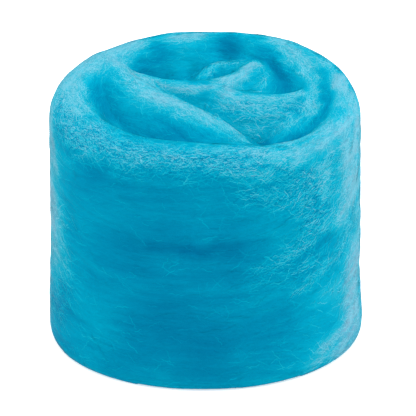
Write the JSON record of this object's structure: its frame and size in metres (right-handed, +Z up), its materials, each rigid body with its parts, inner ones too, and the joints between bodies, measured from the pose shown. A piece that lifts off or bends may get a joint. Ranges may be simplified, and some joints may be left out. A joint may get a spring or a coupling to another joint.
{
  "type": "wool roving roll",
  "caption": "Round roll of soft carded wool roving on its end, with a rounded rim and a top of swirling folds and hollows where the inner turns show.",
  "frame": {"origin": "middle of the flat underside that the roll stands on", "axes": "+Z up along the axis the strip is wound about; -Y is the front, the side from which the diagonal fold runs from back left to front middle"},
  "size_m": [0.0622, 0.0627, 0.0513],
  "materials": {
    "wool": "matt, hairy, dyed turquoise"
  },
  "bodies": {
    "root": {"roving_roll": "wool"}
  },
  "joints": []
}
